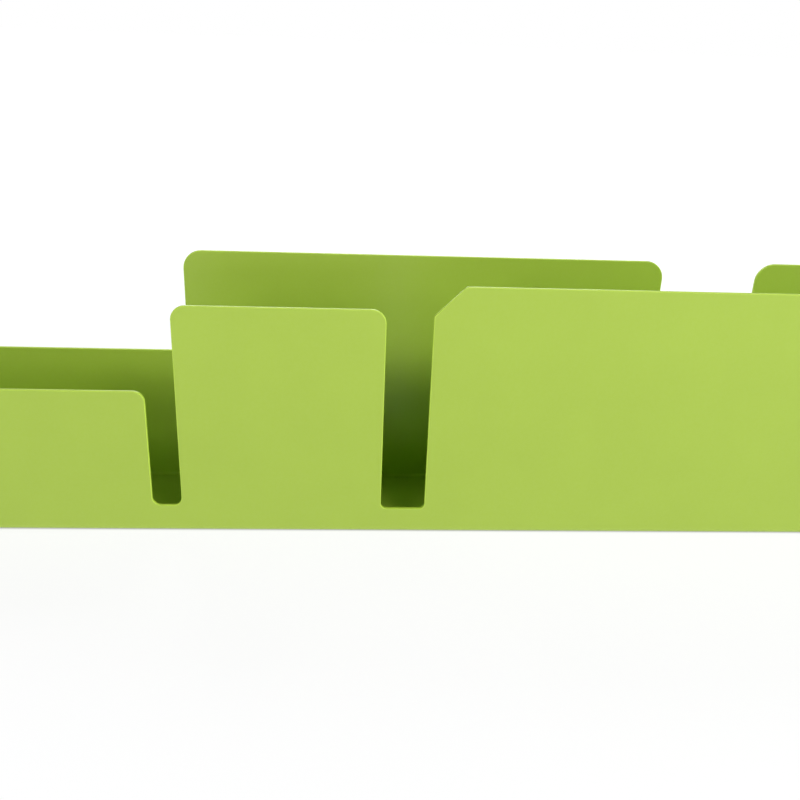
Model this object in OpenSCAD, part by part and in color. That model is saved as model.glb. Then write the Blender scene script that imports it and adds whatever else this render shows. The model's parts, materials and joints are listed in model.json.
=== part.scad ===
// Hanging file rack: one laser-cut, folded steel sheet that hangs by keyholes on four wall screws.
// Millimetres. X runs along the rack, +Y towards the wall, +Z up.
// The origin is the middle of the underside, between the front and the back wall.

/* [Trough] */
// Overall length of the rack
rack_len = 800; // [790:10:900]
// Outside depth, from the front wall to the back wall
rack_depth = 70; // [60:1:90]
// Thickness of the coated steel sheet
sheet = 2; // [1.5:0.1:2.5]
// Outside radius of every fold
fold_r = 4; // [3:0.5:5]

/* [Front tabs] */
// Height of the low tab, and of the low part of the back wall
low_h = 87.5; // [70:0.5:95]
// Height of the middle tab
mid_h = 136.5; // [120:0.5:145]
// Height of the tall tab, and of the tall back panels
tall_h = 150; // [146:1:170]
// Width of the low tab, from the left end
low_tab_w = 220; // [180:1:230]
// Width of the gap between the low and the middle tab
gap_a_w = 16.5; // [13:0.5:24]
// Width of the middle tab
mid_tab_w = 114.5; // [90:0.5:130]
// Width of the gap between the middle and the tall tab
gap_b_w = 25.5; // [16:0.5:32]
// Height of the sheet left under the first gap
foot_a = 17.2; // [14:0.1:24]
// Height of the sheet left under the second gap
foot_b = 16; // [14:0.1:24]
// Corner radius of the low tab, and of the low part of the back wall
low_r = 6.5; // [3:0.5:12]
// Corner radius of the middle and the tall tab
tab_r = 8; // [3:0.5:12]
// Corner radius at the foot of the first gap
gap_a_r = 4.8; // [2:0.1:6]
// Corner radius at the foot of the second gap
gap_b_r = 3.2; // [2:0.1:6]
// Leg of the 45 degree cut corner of the tall tab
cut_leg = 16.6; // [8:0.1:24]
// Radius that softens the two ends of the cut corner
cut_r = 2; // [1:0.5:4]

/* [Back wall] */
// Distance from the left end to the first tall panel
panel_a_x = 232.5; // [225:0.5:240]
// Width of the first tall panel
panel_a_w = 290; // [280:1:300]
// Width of the notch between the tall panels
notch_w = 58.5; // [50:0.5:66]
// Corner radius of the tall panels
panel_r = 11; // [6:0.5:14]
// Radius where a tall panel rises from the low part
step_r = 6; // [3:0.5:10]

/* [Hanging] */
// Distance between the two keyholes of one panel
keyhole_pitch = 170; // [120:1:172]
// Height of the keyhole's narrow end
keyhole_z = 108; // [100:1:115]
// Length that the rack is lifted before the screw heads pass
keyhole_drop = 12; // [10:0.5:14]
// Radius of the keyhole's round entry
entry_r = 5.25; // [5:0.05:5.6]
// Half the width of the keyhole's narrow slot
slot_r = 2.7; // [2.5:0.05:3]
// Thickness of the round pads that keep the rack off the wall
pad_t = 2; // [1.5:0.5:3]
// Radius of a pad
pad_r = 6; // [4:0.5:8]

/* [Wall fixings] */
// Radius of the screw's shank and of its thread
shank_r = 2.25; // [2:0.05:2.3]
// Length of the screw under its head
screw_len = 40; // [35:1:45]
// Radius of the screw head
head_r = 4.5; // [4:0.1:4.8]
// Height of the screw head
head_h = 3; // [2:0.1:4]
// Outside radius of the wall plug
plug_r = 3; // [3:0.1:3.5]
// Length of the wall plug
plug_len = 30; // [25:1:32]

/* [Hidden] */
$fn = 64;
left = -rack_len / 2;
right = rack_len / 2;
front_y = -rack_depth / 2;
back_y = rack_depth / 2;
wall_y = back_y + pad_t;
mid_tab_x = left + low_tab_w + gap_a_w;
gap_b_x = mid_tab_x + mid_tab_w;
tall_tab_x = gap_b_x + gap_b_w;
panel_a = left + panel_a_x;
notch = panel_a + panel_a_w;
panel_b = notch + notch_w;
play = 0.05;
over = 1;

// Screws: two for each tall panel, resting in the narrow ends of the keyholes.
panel_mids = [panel_a + panel_a_w / 2, (panel_b + right) / 2];
screw_xs = [for (m = panel_mids, s = [-1, 1]) m + s * keyhole_pitch / 2];
screw_z = keyhole_z + slot_r - shank_r - play;
head_gap = 0.3;
head_y = back_y - sheet - head_gap;
head_rim = 0.9;
shoulder_r = 0.8 * head_r;
shoulder_h = 0.8 * head_h;
crown_r = 0.45 * head_r;
recess_w = 0.9;
recess_len = 4.8;
recess_depth = 1.8;
core_r = 1.6;
thread_from = 6;
thread_run_in = 0.5;
thread_pitch = 1.8;
thread_crest = 0.5 * thread_pitch;
thread_root = 0.9 * thread_pitch;
tip_len = 4;

// Plugs: a collar on the wall, a smooth neck, then a ribbed and split end.
collar_r = 4;
collar_t = 0.8;
neck_len = 12;
rib_pitch = 3;
rib_depth = 0.4;
split_w = 0.8;
split_from = 14;

// Pads: a row along the foot of the back wall, and one near each high corner.
pad_rim = 0.4;
pad_inset = 16;
foot_pads = 4;
foot_pad_z = 15;
foot_step = (rack_len - 2 * pad_inset) / (foot_pads - 1);
high_pad_z = tall_h - pad_inset;
high_xs = [panel_a + pad_inset, notch - pad_inset, panel_b + pad_inset, right - pad_inset];
pad_spots = concat(
    [for (i = [0 : foot_pads - 1]) [left + pad_inset + i * foot_step, foot_pad_z]],
    [for (x = high_xs) [x, high_pad_z]]
);

// ---- outlines, drawn in X and Z ----

// A block from x0 to x1 with its two upper corners rounded.
module round_top(x0, x1, z0, z1, r) {
    translate([x0, z0]) square([x1 - x0, z1 - z0 - r]);
    translate([x0 + r, z0]) square([x1 - x0 - 2 * r, z1 - z0]);
    for (x = [x0 + r, x1 - r]) translate([x, z1 - r]) circle(r);
}

// A block from x0 to x1 with its two lower corners rounded.
module round_foot(x0, x1, z0, z1, r) {
    translate([x0, z0 + r]) square([x1 - x0, z1 - z0 - r]);
    translate([x0 + r, z0]) square([x1 - x0 - 2 * r, z1 - z0]);
    for (x = [x0 + r, x1 - r]) translate([x, z0 + r]) circle(r);
}

// The tall tab: its left upper corner is cut at 45 degrees, and its right one is round.
module cut_tab(x0, x1, z1) {
    soft = cut_r * tan(22.5);
    step = soft * sin(45);
    polygon([
        [x0, 0],
        [x0, z1 - cut_leg - soft],
        [x0 + step, z1 - cut_leg + step],
        [x0 + cut_leg - step, z1 - step],
        [x0 + cut_leg + soft, z1],
        [x1 - tab_r, z1],
        [x1 - tab_r, 0],
    ]);
    translate([x1 - tab_r - over, 0]) square([tab_r + over, z1 - tab_r]);
    translate([x1 - tab_r, z1 - tab_r]) circle(tab_r);
    translate([x0 + cut_r, z1 - cut_leg - soft]) circle(cut_r);
    translate([x0 + cut_leg + soft, z1 - cut_r]) circle(cut_r);
}

module front_outline() {
    difference() {
        union() {
            translate([left, 0]) square([rack_len, max(foot_a + gap_a_r, foot_b + gap_b_r)]);
            round_top(left, left + low_tab_w, 0, low_h, low_r);
            round_top(mid_tab_x, gap_b_x, 0, mid_h, tab_r);
            cut_tab(tall_tab_x, right, tall_h);
        }
        round_foot(left + low_tab_w, mid_tab_x, foot_a, tall_h, gap_a_r);
        round_foot(gap_b_x, tall_tab_x, foot_b, tall_h, gap_b_r);
    }
}

module back_outline() {
    difference() {
        union() {
            round_top(left, panel_a + panel_r * 2, 0, low_h, low_r);
            translate([panel_a, 0]) square([right - panel_a, low_h + step_r]);
            translate([panel_a - step_r, low_h - step_r]) square([2 * step_r, 2 * step_r]);
            round_top(panel_a, notch, 0, tall_h, panel_r);
            round_top(panel_b, right, 0, tall_h, panel_r);
        }
        round_foot(notch, panel_b, low_h, tall_h, step_r);
        translate([panel_a - step_r, low_h + step_r]) circle(step_r);
        for (x = screw_xs) keyhole(x);
    }
}

module keyhole(x) {
    translate([x, keyhole_z - keyhole_drop]) circle(entry_r);
    translate([x - slot_r, keyhole_z - keyhole_drop]) square([2 * slot_r, keyhole_drop]);
    translate([x, keyhole_z]) circle(slot_r);
}

// ---- the folded sheet ----

// The channel's section, drawn in Y and Z: two walls and a floor, with round folds.
module channel_section(inset, r) {
    half = rack_depth / 2 - inset;
    translate([-half, inset + r]) square([2 * half, tall_h + over]);
    translate([-half + r, inset]) square([2 * (half - r), tall_h]);
    for (y = [-half + r, half - r]) translate([y, inset + r]) circle(r);
}

module channel() {
    translate([left, 0, 0]) rotate([90, 0, 90]) linear_extrude(height = rack_len)
        difference() {
            channel_section(0, fold_r);
            channel_section(sheet, fold_r - sheet);
        }
}

// Everything outside the outline of one wall, as a cutter through that wall only.
module wall_cutter(y0, y1) {
    translate([0, y1, 0]) rotate([90, 0, 0]) linear_extrude(height = y1 - y0)
        difference() {
            translate([left - over, fold_r + over])
                square([rack_len + 2 * over, tall_h + 2 * over]);
            children();
        }
}

module folded_body() {
    color([0.67, 0.78, 0.33]) difference() {
        channel();
        wall_cutter(front_y - over, front_y + sheet + over) front_outline();
        wall_cutter(back_y - sheet - over, back_y + over) back_outline();
    }
}

// ---- the wall fixings, drawn along +Z from the head and turned to +Y ----

function thread_points(from, to) = [
    for (z = [from : thread_pitch : to - thread_pitch])
        each [[core_r, z], [shank_r, z + thread_crest], [core_r, z + thread_root]]
];

module wall_screw(i) {
    thread_to = screw_len - tip_len;
    color([0.78, 0.79, 0.8])
        translate([screw_xs[i], head_y, screw_z]) rotate([-90, 0, 0]) difference() {
            rotate_extrude() polygon(concat(
                [[0, -head_h], [crown_r, -head_h], [shoulder_r, -shoulder_h]],
                [[head_r, -head_rim], [head_r, 0], [shank_r, 0], [shank_r, thread_from]],
                thread_points(thread_from + thread_run_in, thread_to),
                [[core_r, thread_to], [0, screw_len]]
            ));
            for (a = [0, 90]) rotate([0, 0, a])
                translate([-recess_len / 2, -recess_w / 2, -head_h - over])
                    cube([recess_len, recess_w, recess_depth + over]);
        }
}

module wall_plug(i) {
    color([0.6, 0.61, 0.62])
        translate([screw_xs[i], wall_y, screw_z]) rotate([-90, 0, 0]) difference() {
            union() {
                translate([0, 0, -collar_t]) cylinder(r = collar_r, h = collar_t);
                cylinder(r = plug_r, h = neck_len);
                for (z = [neck_len : rib_pitch : plug_len - rib_pitch])
                    translate([0, 0, z])
                        cylinder(r1 = plug_r - rib_depth, r2 = plug_r, h = rib_pitch);
            }
            translate([0, 0, -collar_t - over])
                cylinder(r = shank_r + play, h = plug_len + collar_t + 2 * over);
            for (a = [0, 90]) rotate([0, 0, a])
                translate([-plug_r - over, -split_w / 2, split_from])
                    cube([2 * (plug_r + over), split_w, plug_len]);
        }
}

module wall_pad(i) {
    color([0.16, 0.16, 0.17])
        translate([pad_spots[i][0], back_y, pad_spots[i][1]]) rotate([-90, 0, 0]) {
            cylinder(r = pad_r, h = pad_t - pad_rim);
            translate([0, 0, pad_t - pad_rim])
                cylinder(r1 = pad_r, r2 = pad_r - pad_rim, h = pad_rim);
        }
}

folded_body();
for (i = [0 : 3]) wall_screw(i);
for (i = [0 : 3]) wall_plug(i);
for (i = [0 : 7]) wall_pad(i);
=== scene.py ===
"""Hanging file rack: a folded, powder-coated steel sheet on four wall screws, seen from a little above.

Metres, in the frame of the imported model: +X along the rack, +Y towards the wall, +Z up.
"""

import json
import math

import bmesh
import bpy
from mathutils import Matrix, Vector


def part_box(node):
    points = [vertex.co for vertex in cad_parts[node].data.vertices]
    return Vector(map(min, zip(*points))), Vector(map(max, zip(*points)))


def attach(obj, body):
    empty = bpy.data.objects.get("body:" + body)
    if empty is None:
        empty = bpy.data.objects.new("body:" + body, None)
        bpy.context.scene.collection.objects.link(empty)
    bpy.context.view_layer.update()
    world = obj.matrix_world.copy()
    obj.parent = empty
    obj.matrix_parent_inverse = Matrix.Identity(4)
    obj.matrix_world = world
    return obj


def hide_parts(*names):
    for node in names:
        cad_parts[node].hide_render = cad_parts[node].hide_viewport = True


MM = 0.001

# ---- the sheet's outline, as heights and distances along the rack ----
SHEET = 2.0 * MM
FOLD_R = 4.0 * MM
FOOT_A = 17.2 * MM
FOOT_B = 16.0 * MM
LOW_H = 87.5 * MM
MID_H = 136.5 * MM
LOW_TAB_W = 220.0 * MM
GAP_A_W = 16.5 * MM
MID_TAB_W = 114.5 * MM
GAP_B_W = 25.5 * MM
PANEL_A_X = 232.5 * MM
PANEL_A_W = 290.0 * MM
NOTCH_W = 58.5 * MM
LOW_R = 6.5 * MM
TAB_R = 8.0 * MM
GAP_A_R = 4.8 * MM
GAP_B_R = 3.2 * MM
CUT_LEG = 16.6 * MM
CUT_R = 2.0 * MM
PANEL_R = 11.0 * MM
STEP_R = 6.0 * MM
SLOT_R = 2.7 * MM
KEYHOLE_DROP = 12.0 * MM
EDGE_R = 0.45 * MM
CORNER_STEPS = 12
FOLD_STEPS = 12
WELD = 0.001 * MM

# ---- screws ----
SHANK_R = 2.25 * MM
CORE_R = 1.6 * MM
HEAD_H = 3.0 * MM
NECK_ROUND = 0.4 * MM
THREAD_PITCH = 1.8 * MM
THREAD_FROM = 6.0 * MM
THREAD_SHARPNESS = 3.2
TIP_LEN = 5.0 * MM
RECESS_LEN = 4.8 * MM
RECESS_W = 0.9 * MM
RECESS_H = 2.2 * MM
RECESS_MIDDLE = 0.7 * MM
RECESS_TAPER = 0.55
RECESS_TURN = 17
SCREW_STEPS = 36
CROWN_STEPS = 8
RINGS_PER_TURN = 10
SCREW_EDGE_R = 0.08 * MM

# ---- plugs ----
PLUG_R = 3.0 * MM
BORE_R = 2.3 * MM
BORE_ROUND = 0.3 * MM
COLLAR_T = 0.8 * MM
PLUG_NECK = 12.0 * MM
RIB_PITCH = 3.0 * MM
RIB_DEPTH = 0.4 * MM
RIB_FOOT = 0.15 * MM
RIB_LAND = 0.25 * MM
NOSE_LEN = 0.6 * MM
NOSE_STEP = 0.1 * MM
NOSE_ROUND = 0.5 * MM
SPLIT_FROM = 14.0 * MM
SPLIT_W = 0.8 * MM
PLUG_STEPS = 48
PLUG_EDGE_R = 0.06 * MM

# ---- pads ----
GLUE_T = 0.2 * MM
GLUE_INSET = 0.15 * MM
PAD_INSET = 0.05 * MM
PAD_RIM = 0.7 * MM
DISH_DEPTH = 0.12 * MM
PAD_STEPS = 64
RIM_STEPS = 8
PAD_EDGE_R = 0.05 * MM


# ---- outlines ----


def rounded(corners):
    """Points along a line of (x, z, radius) corners, with an arc in each corner that has a radius."""
    points = []
    for i, (x, z, radius) in enumerate(corners):
        here = Vector((x, z))
        if radius == 0:
            points.append(here)
            continue
        back = (Vector(corners[i - 1][:2]) - here).normalized()
        ahead = (Vector(corners[i + 1][:2]) - here).normalized()
        half = back.angle(ahead) / 2
        centre = here + (back + ahead).normalized() * (radius / math.sin(half))
        start = here + back * (radius / math.tan(half)) - centre
        end = here + ahead * (radius / math.tan(half)) - centre
        turn = math.atan2(start.x * end.y - start.y * end.x, start.dot(end))
        for k in range(CORNER_STEPS + 1):
            points.append(centre + Matrix.Rotation(turn * k / CORNER_STEPS, 2) @ start)
    return points


def arc(centre, radius, start, end, steps):
    """Points on an arc, from one angle to another, in degrees."""
    points = []
    for k in range(steps + 1):
        a = math.radians(start + (end - start) * k / steps)
        points.append(Vector((centre[0] + radius * math.cos(a), centre[1] + radius * math.sin(a))))
    return points


def front_outline(left, right, base, tall):
    """The front wall: a low tab, a middle tab, and a tall one with a cut corner."""
    a0 = left + LOW_TAB_W
    a1 = a0 + GAP_A_W
    b0 = a1 + MID_TAB_W
    b1 = b0 + GAP_B_W
    return rounded([
        (left, base, 0), (left, LOW_H, LOW_R),
        (a0, LOW_H, LOW_R), (a0, FOOT_A, GAP_A_R), (a1, FOOT_A, GAP_A_R),
        (a1, MID_H, TAB_R), (b0, MID_H, TAB_R),
        (b0, FOOT_B, GAP_B_R), (b1, FOOT_B, GAP_B_R),
        (b1, tall - CUT_LEG, CUT_R), (b1 + CUT_LEG, tall, CUT_R),
        (right, tall, TAB_R), (right, base, 0),
    ])


def keyhole_below(x, z, entry_r):
    """The lower half of a keyhole's round entry, from left to right."""
    return arc((x, z), entry_r, 180, 360, 2 * CORNER_STEPS)


def keyhole_above(x, z, entry_r):
    """The upper half of a keyhole, from right to left: over the narrow slot's round end."""
    meet = math.degrees(math.acos(SLOT_R / entry_r))
    right_side = arc((x, z), entry_r, 0, meet, CORNER_STEPS // 2)
    top = arc((x, z + KEYHOLE_DROP), SLOT_R, 0, 180, 2 * CORNER_STEPS)
    left_side = arc((x, z), entry_r, 180 - meet, 180, CORNER_STEPS // 2)
    return right_side + top + left_side


def back_outlines(left, right, base, tall, entries, entry_z, entry_r):
    """The back wall, as three faces that meet on a level line through the keyholes' round entries."""
    a0 = left + PANEL_A_X
    a1 = a0 + PANEL_A_W
    b0 = a1 + NOTCH_W
    below = [keyhole_below(x, entry_z, entry_r) for x in entries]
    above = [keyhole_above(x, entry_z, entry_r) for x in entries]
    lower = rounded([(left, base, 0), (left, LOW_H, LOW_R), (a0, LOW_H, STEP_R), (a0, entry_z, 0)])
    lower += below[0] + below[1]
    lower += rounded([(a1, entry_z, 0), (a1, LOW_H, STEP_R), (b0, LOW_H, STEP_R), (b0, entry_z, 0)])
    lower += below[2] + below[3]
    lower += rounded([(right, entry_z, 0), (right, base, 0)])
    upper_a = rounded([(a0, entry_z, 0), (a0, tall, PANEL_R), (a1, tall, PANEL_R), (a1, entry_z, 0)])
    upper_b = rounded([(b0, entry_z, 0), (b0, tall, PANEL_R), (right, tall, PANEL_R), (right, entry_z, 0)])
    return [lower, upper_a + above[1] + above[0], upper_b + above[3] + above[2]]


# ---- helpers for meshes and pieces ----


def new_object(name, mesh):
    piece = bpy.data.objects.new(name, mesh)
    bpy.context.scene.collection.objects.link(piece)
    return piece


def mesh_from(bm, name):
    mesh = bpy.data.meshes.new(name)
    bm.to_mesh(mesh)
    bm.free()
    for face in mesh.polygons:
        face.use_smooth = True
    return mesh


def apply_modifiers(piece):
    """Replaces the piece's mesh by what its modifiers make of it."""
    bpy.context.view_layer.update()
    depsgraph = bpy.context.evaluated_depsgraph_get()
    mesh = bpy.data.meshes.new_from_object(piece.evaluated_get(depsgraph), depsgraph=depsgraph)
    piece.modifiers.clear()
    piece.data = mesh


def cut(piece, cutter):
    """Takes the cutter's shape out of the piece."""
    tool = piece.modifiers.new("cut", "BOOLEAN")
    tool.operation = "DIFFERENCE"
    tool.solver = "EXACT"
    tool.object = cutter
    apply_modifiers(piece)
    bpy.data.objects.remove(cutter)


def soften(piece, width, segments=2, angle=35):
    """Rounds the sharp edges and keeps the flat faces flat in shade."""
    bevel = piece.modifiers.new("round_edges", "BEVEL")
    bevel.width = width
    bevel.segments = segments
    bevel.limit_method = "ANGLE"
    bevel.angle_limit = math.radians(angle)
    bevel.use_clamp_overlap = False
    normals = piece.modifiers.new("flat_faces", "WEIGHTED_NORMAL")
    normals.weight = 100
    normals.keep_sharp = False


def install(piece, node, material):
    """The piece stands for its CAD node and takes its finish."""
    piece.data.materials.clear()
    piece.data.materials.append(material)
    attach(piece, "root")
    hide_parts(node)


# ---- materials ----


def new_material(name):
    material = bpy.data.materials.new(name)
    material.use_nodes = True
    return material, material.node_tree, material.node_tree.nodes["Principled BSDF"]


def noise(tree, coordinates, scale, detail=3.0, roughness=0.55):
    node = tree.nodes.new("ShaderNodeTexNoise")
    node.inputs["Scale"].default_value = scale
    node.inputs["Detail"].default_value = detail
    node.inputs["Roughness"].default_value = roughness
    tree.links.new(coordinates, node.inputs["Vector"])
    return node.outputs["Fac"]


def ramp(tree, factor, low, high, from_min=0.3, from_max=0.7):
    """Maps a noise value to a range of numbers."""
    node = tree.nodes.new("ShaderNodeMapRange")
    node.inputs["From Min"].default_value = from_min
    node.inputs["From Max"].default_value = from_max
    node.inputs["To Min"].default_value = low
    node.inputs["To Max"].default_value = high
    tree.links.new(factor, node.inputs["Value"])
    return node.outputs["Result"]


def maths(tree, operation, first, second=None):
    node = tree.nodes.new("ShaderNodeMath")
    node.operation = operation
    tree.links.new(first, node.inputs[0])
    if second is not None:
        tree.links.new(second, node.inputs[1])
    return node.outputs["Value"]


def blend_colours(tree, factor, first, second):
    node = tree.nodes.new("ShaderNodeMix")
    node.data_type = "RGBA"
    tree.links.new(factor, node.inputs["Factor"])
    for socket, value in (("A", first), ("B", second)):
        target = [s for s in node.inputs if s.name == socket and s.type == "RGBA"][0]
        if isinstance(value, tuple):
            target.default_value = value + (1.0,)
        else:
            tree.links.new(value, target)
    return [s for s in node.outputs if s.type == "RGBA"][0]


def bump(tree, height, strength, distance, normal=None):
    node = tree.nodes.new("ShaderNodeBump")
    node.inputs["Strength"].default_value = strength
    node.inputs["Distance"].default_value = distance
    tree.links.new(height, node.inputs["Height"])
    if normal is not None:
        tree.links.new(normal, node.inputs["Normal"])
    return node.outputs["Normal"]


COAT_COLOURS = ((0.404, 0.581, 0.036), (0.416, 0.599, 0.039), (0.450, 0.637, 0.058))
# Factor that makes the cut edges' coat paler than the rest: a painted highlight along the sheet's rims.
CUT_EDGE_PAINTED_HIGHLIGHT = 1.38


def powder_coat(name, paler=1.0):
    """Satin lime powder coat: a fine orange peel, faint mottling and a paler speckle."""
    material, tree, shader = new_material(name)
    place = tree.nodes.new("ShaderNodeTexCoord").outputs["Object"]
    mottle = noise(tree, place, 28.0, 2.0)
    grain = noise(tree, place, 2600.0, 2.0)
    peel = noise(tree, place, 520.0, 3.0)
    # A factor above 1 makes every colour paler: a painted highlight, used for the cut edges.
    dark, light, fleck = [tuple(paler * c for c in colour) for colour in COAT_COLOURS]
    clouds = blend_colours(tree, ramp(tree, mottle, 0.0, 1.0), dark, light)
    speckle = blend_colours(tree, ramp(tree, grain, 0.0, 0.35, 0.45, 0.75), clouds, fleck)
    tree.links.new(speckle, shader.inputs["Base Color"])
    tree.links.new(ramp(tree, peel, 0.64, 0.74), shader.inputs["Roughness"])
    shader.inputs["Specular IOR Level"].default_value = 0.9
    shader.inputs["Coat Weight"].default_value = 0.25
    shader.inputs["Coat Roughness"].default_value = 0.28
    rough = bump(tree, peel, 0.18, 0.00008)
    tree.links.new(bump(tree, grain, 0.10, 0.00003, rough), shader.inputs["Normal"])
    return material


def zinc():
    """Bright zinc plate with fine turning marks and a few duller clouds."""
    material, tree, shader = new_material("zinc_plate")
    place = tree.nodes.new("ShaderNodeTexCoord").outputs["Object"]
    clouds = noise(tree, place, 420.0, 4.0)
    scratches = noise(tree, place, 5200.0, 2.0)
    colour = blend_colours(tree, ramp(tree, clouds, 0.0, 1.0), (0.60, 0.61, 0.63), (0.74, 0.74, 0.72))
    tree.links.new(colour, shader.inputs["Base Color"])
    tree.links.new(ramp(tree, clouds, 0.26, 0.44), shader.inputs["Roughness"])
    shader.inputs["Metallic"].default_value = 1.0
    tree.links.new(bump(tree, scratches, 0.25, 0.00003), shader.inputs["Normal"])
    return material


def grey_nylon():
    """Moulded grey nylon: matt, a little uneven, with a fine eroded texture."""
    material, tree, shader = new_material("grey_nylon")
    place = tree.nodes.new("ShaderNodeTexCoord").outputs["Object"]
    flow = noise(tree, place, 260.0, 3.0)
    texture = noise(tree, place, 3600.0, 3.0)
    colour = blend_colours(tree, ramp(tree, flow, 0.0, 1.0), (0.36, 0.37, 0.39), (0.44, 0.45, 0.46))
    tree.links.new(colour, shader.inputs["Base Color"])
    tree.links.new(ramp(tree, texture, 0.48, 0.62), shader.inputs["Roughness"])
    shader.inputs["Subsurface Weight"].default_value = 0.05
    tree.links.new(bump(tree, texture, 0.3, 0.00004), shader.inputs["Normal"])
    return material


def pad_rubber():
    """Soft black rubber with a dusty bloom."""
    material, tree, shader = new_material("pad_rubber")
    place = tree.nodes.new("ShaderNodeTexCoord").outputs["Object"]
    bloom = noise(tree, place, 300.0, 4.0)
    texture = noise(tree, place, 4200.0, 2.0)
    colour = blend_colours(tree, ramp(tree, bloom, 0.0, 1.0), (0.022, 0.022, 0.024), (0.050, 0.050, 0.052))
    tree.links.new(colour, shader.inputs["Base Color"])
    tree.links.new(ramp(tree, bloom, 0.62, 0.80), shader.inputs["Roughness"])
    tree.links.new(bump(tree, texture, 0.35, 0.00005), shader.inputs["Normal"])
    return material


# ---- the folded sheet ----


def folded_body(material, painted_highlight_material, entries, entry_z, entry_r):
    """The outer skin, made flat wall by flat wall with a fold between them, then thickened inwards."""
    low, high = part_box("folded_body")
    left, right, front, back = low.x, high.x, low.y, high.y
    base = low.z + FOLD_R
    bm = bmesh.new()

    def face(points):
        bm.faces.new([bm.verts.new(p) for p in points])

    face([(p.x, front, p.y) for p in front_outline(left, right, base, high.z)])
    for outline in back_outlines(left, right, base, high.z, entries, entry_z, entry_r):
        face([(p.x, back, p.y) for p in reversed(outline)])
    front_fold = arc((front + FOLD_R, base), FOLD_R, 180, 270, FOLD_STEPS)
    back_fold = arc((back - FOLD_R, base), FOLD_R, 270, 360, FOLD_STEPS)
    section = front_fold + back_fold
    for here, after in zip(section, section[1:]):
        face([(left, *here), (right, *here), (right, *after), (left, *after)])
    bmesh.ops.remove_doubles(bm, verts=bm.verts, dist=WELD)
    bmesh.ops.recalc_face_normals(bm, faces=bm.faces)
    floor_face = min(bm.faces, key=lambda f: f.calc_center_median().z)
    if floor_face.normal.z > 0:
        bmesh.ops.reverse_faces(bm, faces=bm.faces)
    piece = new_object("folded_sheet", mesh_from(bm, "folded_sheet"))
    solid = piece.modifiers.new("sheet", "SOLIDIFY")
    solid.thickness = SHEET
    solid.offset = -1.0
    solid.use_even_offset = True
    # The rim faces and the rounded edges take the second material: the coat painted paler, a painted
    # highlight.
    solid.material_offset_rim = 1
    soften(piece, EDGE_R, segments=3)
    piece.modifiers["round_edges"].material = 1
    install(piece, "folded_body", material)
    piece.data.materials.append(painted_highlight_material)


# ---- the screws, plugs and pads: each is made along +Z and turned so that +Z points to the wall ----

TO_WALL = Matrix.Rotation(math.radians(-90), 4, "X")


def ring(bm, z, steps, radius_at):
    """A ring of points round the Z axis. radius_at gives the radius at an angle."""
    turns = [math.tau * k / steps for k in range(steps)]
    return [bm.verts.new((radius_at(a) * math.cos(a), radius_at(a) * math.sin(a), z)) for a in turns]


def circle(bm, z, steps, radius):
    """A round ring, or a single point where the radius is zero."""
    if radius == 0:
        return [bm.verts.new((0, 0, z))]
    return ring(bm, z, steps, lambda a: radius)


def revolve(bm, profile, steps, closed=False):
    """Turns a list of (radius, height) points round the Z axis. The ends close on the axis."""
    rings = [circle(bm, z, steps, radius) for radius, z in profile]
    pairs = list(zip(rings, rings[1:]))
    if closed:
        pairs.append((rings[-1], rings[0]))
    for lower, upper in pairs:
        join(bm, lower, upper, steps)


def join(bm, lower, upper, steps):
    """Faces between two rings, either of which may be a single point."""
    for k in range(steps):
        n = (k + 1) % steps
        if len(lower) == 1:
            bm.faces.new((lower[0], upper[n], upper[k]))
        elif len(upper) == 1:
            bm.faces.new((lower[k], lower[n], upper[0]))
        else:
            bm.faces.new((lower[k], lower[n], upper[n], upper[k]))


def block(name, size, centre, taper=1.0):
    """A block whose far end in Z is scaled by taper: a cutter for slots and recesses."""
    bm = bmesh.new()
    bmesh.ops.create_cube(bm, size=1.0)
    for v in bm.verts:
        scale = taper if v.co.z > 0 else 1.0
        v.co = Vector((v.co.x * size[0] * scale, v.co.y * size[1] * scale, v.co.z * size[2])) + Vector(centre)
    return new_object(name, mesh_from(bm, name))


def screw_profile(head_r):
    """The pan head and the smooth neck, from the crown down to where the thread begins."""
    crown = [(0, -HEAD_H)]
    for k in range(1, CROWN_STEPS + 1):
        a = math.radians(90 * k / CROWN_STEPS)
        radius = head_r * 0.35 + head_r * 0.65 * math.sin(a)
        crown.append((radius, -HEAD_H * 0.35 - HEAD_H * 0.65 * math.cos(a)))
    brim = [(head_r, -0.12 * HEAD_H), (head_r * 0.97, 0)]
    return crown + brim + [(SHANK_R * 1.08, 0), (SHANK_R, NECK_ROUND)]


def screw_mesh(length, head_r):
    """Head, neck, helical thread and point."""
    bm = bmesh.new()
    rings = [circle(bm, z, SCREW_STEPS, radius) for radius, z in screw_profile(head_r)]
    rings.append(circle(bm, THREAD_FROM, SCREW_STEPS, SHANK_R))
    step = THREAD_PITCH / RINGS_PER_TURN
    for i in range(1, round((length - THREAD_FROM) / step)):
        z = THREAD_FROM + i * step
        fade = min(1.0, (z - THREAD_FROM) / THREAD_PITCH)
        taper = min(1.0, (length - z) / TIP_LEN)

        def radius_at(a):
            phase = (z / THREAD_PITCH - a / math.tau) % 1.0
            ridge = max(0.0, 1.0 - abs(phase - 0.5) * THREAD_SHARPNESS)
            root = SHANK_R + (CORE_R - SHANK_R) * fade
            return (root + (SHANK_R - root) * ridge) * taper

        rings.append(ring(bm, z, SCREW_STEPS, radius_at))
    rings.append(circle(bm, length, SCREW_STEPS, 0))
    for lower, upper in zip(rings, rings[1:]):
        join(bm, lower, upper, SCREW_STEPS)
    bmesh.ops.recalc_face_normals(bm, faces=bm.faces)
    return mesh_from(bm, "wall_screw")


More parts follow.
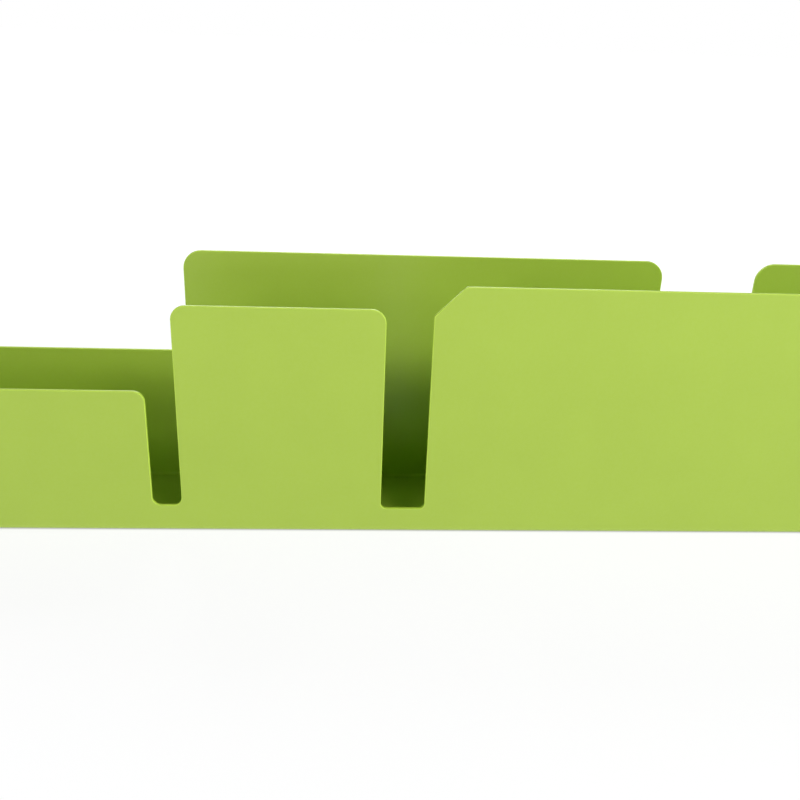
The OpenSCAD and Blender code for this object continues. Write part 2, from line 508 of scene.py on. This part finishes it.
def wall_screw(number, material):
    """A pan-head screw with a cross recess."""
    node = "wall_screw_%d" % number
    low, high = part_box(node)
    head_r = (high.x - low.x) / 2
    length = high.y - low.y - HEAD_H
    piece = new_object("screw_%d" % number, screw_mesh(length, head_r))
    for turn in (0, 90):
        size = (RECESS_LEN, RECESS_W, RECESS_H)
        cutter = block("recess", size, (0, 0, -HEAD_H + RECESS_MIDDLE), RECESS_TAPER)
        cutter.data.transform(Matrix.Rotation(math.radians(turn + RECESS_TURN * number), 4, "Z"))
        cut(piece, cutter)
    centre = (low + high) / 2
    piece.data.transform(Matrix.Translation((centre.x, low.y + HEAD_H, centre.z)) @ TO_WALL)
    soften(piece, SCREW_EDGE_R, angle=50)
    install(piece, node, material)


def plug_profile(collar_r, length):
    """The plug's closed section: collar, neck, ribs and nose outside, then the bore."""
    outside = [(collar_r * 0.93, -COLLAR_T), (collar_r, -0.6 * COLLAR_T), (collar_r, 0)]
    outside += [(PLUG_R, 0), (PLUG_R, PLUG_NECK)]
    z = PLUG_NECK
    while z < length - 1.5 * RIB_PITCH:
        outside.append((PLUG_R - RIB_DEPTH, z + RIB_FOOT))
        outside += [(PLUG_R, z + RIB_PITCH - RIB_LAND), (PLUG_R, z + RIB_PITCH)]
        z += RIB_PITCH
    outside += [(PLUG_R - RIB_DEPTH, z + RIB_FOOT), (PLUG_R - NOSE_STEP, length - NOSE_LEN)]
    outside.append((PLUG_R - NOSE_ROUND, length))
    mouth = -COLLAR_T + BORE_ROUND
    inside = [(BORE_R, length), (BORE_R, mouth), (BORE_R + BORE_ROUND, -COLLAR_T)]
    return outside + inside


def wall_plug(number, material):
    """A split plug with a collar, a smooth neck and saw-tooth ribs."""
    node = "wall_plug_%d" % number
    low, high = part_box(node)
    collar_r = (high.x - low.x) / 2
    length = high.y - low.y - COLLAR_T
    bm = bmesh.new()
    revolve(bm, plug_profile(collar_r, length), PLUG_STEPS, closed=True)
    bmesh.ops.recalc_face_normals(bm, faces=bm.faces)
    piece = new_object("plug_%d" % number, mesh_from(bm, "wall_plug"))
    for turn in (0, 90):
        cutter = block("split", (4 * PLUG_R, SPLIT_W, length), (0, 0, SPLIT_FROM + length / 2))
        cutter.data.transform(Matrix.Rotation(math.radians(turn), 4, "Z"))
        cut(piece, cutter)
    centre = (low + high) / 2
    piece.data.transform(Matrix.Translation((centre.x, low.y + COLLAR_T, centre.z)) @ TO_WALL)
    soften(piece, PLUG_EDGE_R, angle=50)
    install(piece, node, material)


def wall_pad(number, material):
    """A stuck-on pad: a thin film of glue, then a low rubber button with a rounded rim."""
    node = "wall_pad_%d" % number
    low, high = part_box(node)
    radius = (high.x - low.x) / 2
    thick = high.y - low.y
    profile = [(0, 0), (radius - GLUE_INSET, 0), (radius - GLUE_INSET, GLUE_T)]
    profile.append((radius - PAD_INSET, GLUE_T + PAD_INSET))
    for k in range(RIM_STEPS + 1):
        a = math.radians(90 * k / RIM_STEPS)
        rim = (radius - PAD_RIM + PAD_RIM * math.cos(a), thick - PAD_RIM + PAD_RIM * math.sin(a))
        profile.append(rim)
    dish = thick - DISH_DEPTH
    profile += [(radius * 0.55, thick), (radius * 0.5, dish), (0, dish)]
    bm = bmesh.new()
    revolve(bm, profile, PAD_STEPS)
    bmesh.ops.recalc_face_normals(bm, faces=bm.faces)
    piece = new_object("pad_%d" % number, mesh_from(bm, "wall_pad"))
    centre = (low + high) / 2
    piece.data.transform(Matrix.Translation((centre.x, low.y, centre.z)) @ TO_WALL)
    soften(piece, PAD_EDGE_R, angle=40)
    install(piece, node, material)


# ---- stage, light and camera ----

FLOOR_SIZE = 20.0
FLOOR_COLOURS = ((0.19, 0.19, 0.20), (0.21, 0.21, 0.22))
# Painted light: the floor's glow near the rack and far from it, and the span inside the rack's edges where it
# fades out, a painted shade.
GLOW_NEAR, GLOW_FAR = 0.86, 1.1
NEAR, FAR = 0.4, 1.2
SHADE_FROM, SHADE_TO = 4.5 * MM, 0.5 * MM
SOFTBOX_DISTANCE = 2.0
LIT_POINT = (0, 0, 0.08)
BACKDROP_LIGHT = 0.8
BACKDROP_FROM, BACKDROP_TO = 0.45, 0.7
# Name, azimuth and elevation in degrees, size in metres, power in watts.
SOFTBOXES = (
    ("front_left", -38, 38, 0.4, 4.0),
    ("low_left", -33, 10, 0.4, 3.1),
    ("high_right", 27, 46, 0.4, 5.4),
    ("front_right", 40, 39, 0.4, 7.8),
    ("side_right", 65, 22, 0.4, 11.8),
    ("behind", 180, 31, 1.5, 26.0),
)
CAMERA_AT = (-0.07077, -0.48866, 0.27433)
PITCH, YAW, ROLL = 22.625, -3.857, 2.312
LENS = 39.94


def stage():
    """A wide pale floor, level with the rack's underside, that glows except under the rack. The glow is
    painted light: it lights the rack from below and is dimmer near the rack; it fades out just inside the
    rack's edges, a painted shade under them.
    """
    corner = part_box("folded_body")[1]
    bm = bmesh.new()
    bmesh.ops.create_grid(bm, x_segments=8, y_segments=8, size=FLOOR_SIZE)
    floor = new_object("floor", mesh_from(bm, "floor"))
    material, tree, shader = new_material("pale_floor")
    place = tree.nodes.new("ShaderNodeTexCoord").outputs["Object"]
    tone = blend_colours(tree, noise(tree, place, 3.0), *FLOOR_COLOURS)
    tree.links.new(tone, shader.inputs["Base Color"])
    distance = tree.nodes.new("ShaderNodeVectorMath")
    distance.operation = "LENGTH"
    tree.links.new(place, distance.inputs[0])
    glow = ramp(tree, distance.outputs["Value"], GLOW_NEAR, GLOW_FAR, NEAR, FAR)
    across = tree.nodes.new("ShaderNodeSeparateXYZ")
    tree.links.new(place, across.inputs["Vector"])
    # Beside the rack the floor glows; just inside its edges the glow fades out: painted shade under the
    # rack's edges.
    outside = []
    for axis, edge in (("X", corner.x), ("Y", corner.y)):
        reach = maths(tree, "ABSOLUTE", across.outputs[axis])
        outside.append(ramp(tree, reach, 0.0, 1.0, edge - SHADE_FROM, edge - SHADE_TO))
    beside = maths(tree, "MAXIMUM", *outside)
    shader.inputs["Emission Color"].default_value = (1.0, 1.0, 1.0, 1.0)
    tree.links.new(maths(tree, "MULTIPLY", glow, beside), shader.inputs["Emission Strength"])
    shader.inputs["Roughness"].default_value = 0.9
    shader.inputs["Specular IOR Level"].default_value = 0.0
    floor.data.materials.append(material)


def softbox(name, azimuth, elevation, size, power):
    """A square softbox, aimed at the rack. Azimuth 0 is in front of it, and 90 is at its right."""
    around, above = math.radians(azimuth), math.radians(elevation)
    away = Vector((math.cos(above) * math.sin(around), -math.cos(above) * math.cos(around), math.sin(above)))
    light = bpy.data.lights.new(name, "AREA")
    light.shape = "SQUARE"
    light.size = size
    light.energy = power
    lamp = bpy.data.objects.new(name, light)
    bpy.context.scene.collection.objects.link(lamp)
    lamp.location = Vector(LIT_POINT) + away * SOFTBOX_DISTANCE
    lamp.rotation_euler = (-away).to_track_quat("-Z", "Y").to_euler()


def studio():
    """A backdrop that the camera sees as white and that lights the rack low down, and softboxes."""
    world = bpy.data.worlds.new("studio")
    world.use_nodes = True
    tree = world.node_tree
    background = tree.nodes["Background"]
    background.inputs["Color"].default_value = (1.0, 1.0, 1.0, 1.0)
    towards = tree.nodes.new("ShaderNodeSeparateXYZ")
    tree.links.new(tree.nodes.new("ShaderNodeTexCoord").outputs["Generated"], towards.inputs["Vector"])
    behind = ramp(tree, towards.outputs["Y"], 0.0, 1.0, -0.1, 0.1)
    low = ramp(tree, towards.outputs["Z"], BACKDROP_LIGHT, 0.0, BACKDROP_FROM, BACKDROP_TO)
    backdrop = maths(tree, "MULTIPLY", behind, low)
    seen = tree.nodes.new("ShaderNodeLightPath").outputs["Is Camera Ray"]
    tree.links.new(maths(tree, "MAXIMUM", seen, backdrop), background.inputs["Strength"])
    bpy.context.scene.world = world
    for box in SOFTBOXES:
        softbox(*box)
    bpy.context.scene.view_settings.view_transform = "Standard"


def camera():
    """A standard lens, a little above the rack and left of its middle, tilted down."""
    pitch, yaw, roll = (math.radians(a) for a in (PITCH, YAW, ROLL))
    level = Vector((math.cos(yaw), math.sin(yaw), 0))
    ahead = Vector((-math.sin(yaw) * math.cos(pitch), math.cos(yaw) * math.cos(pitch), -math.sin(pitch)))
    upright = level.cross(ahead)
    right = math.cos(roll) * level + math.sin(roll) * upright
    up = math.cos(roll) * upright - math.sin(roll) * level
    data = bpy.data.cameras.new("camera")
    data.lens = LENS
    data.sensor_width = 36.0
    data.clip_start = 0.01
    view = bpy.data.objects.new("camera", data)
    bpy.context.scene.collection.objects.link(view)
    turned = Matrix((right, up, -ahead)).transposed().to_4x4()
    view.matrix_world = Matrix.Translation(CAMERA_AT) @ turned
    bpy.context.scene.camera = view


# ---- the model ----

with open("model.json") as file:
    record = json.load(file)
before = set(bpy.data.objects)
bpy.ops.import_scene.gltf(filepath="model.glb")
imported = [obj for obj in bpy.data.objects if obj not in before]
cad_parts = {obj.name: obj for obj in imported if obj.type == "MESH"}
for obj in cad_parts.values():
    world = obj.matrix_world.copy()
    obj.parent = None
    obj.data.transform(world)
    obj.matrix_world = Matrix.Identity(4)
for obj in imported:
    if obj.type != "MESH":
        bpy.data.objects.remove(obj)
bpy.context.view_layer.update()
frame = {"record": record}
mounts = {m["name"]: m for m in frame["record"]["mounts"]}
keyholes = [mounts["keyhole_entry_%d" % i] for i in range(1, 5)]
coat = powder_coat("lime_powder_coat")
# The cut edges' coat is painted paler than the rest: a painted highlight.
cut_edge_highlight_coat = powder_coat("lime_powder_coat_painted_highlight_on_cut_edges", CUT_EDGE_PAINTED_HIGHLIGHT)
plate, nylon, rubber = zinc(), grey_nylon(), pad_rubber()

folded_body(
    coat,
    cut_edge_highlight_coat,
    [k["pos_m"][0] for k in keyholes],
    keyholes[0]["pos_m"][2],
    keyholes[0]["dims"]["r_mm"] * MM,
)
for i in range(1, 5):
    wall_screw(i, plate)
    wall_plug(i, nylon)
for i in range(1, 9):
    wall_pad(i, rubber)
stage()
studio()
camera()
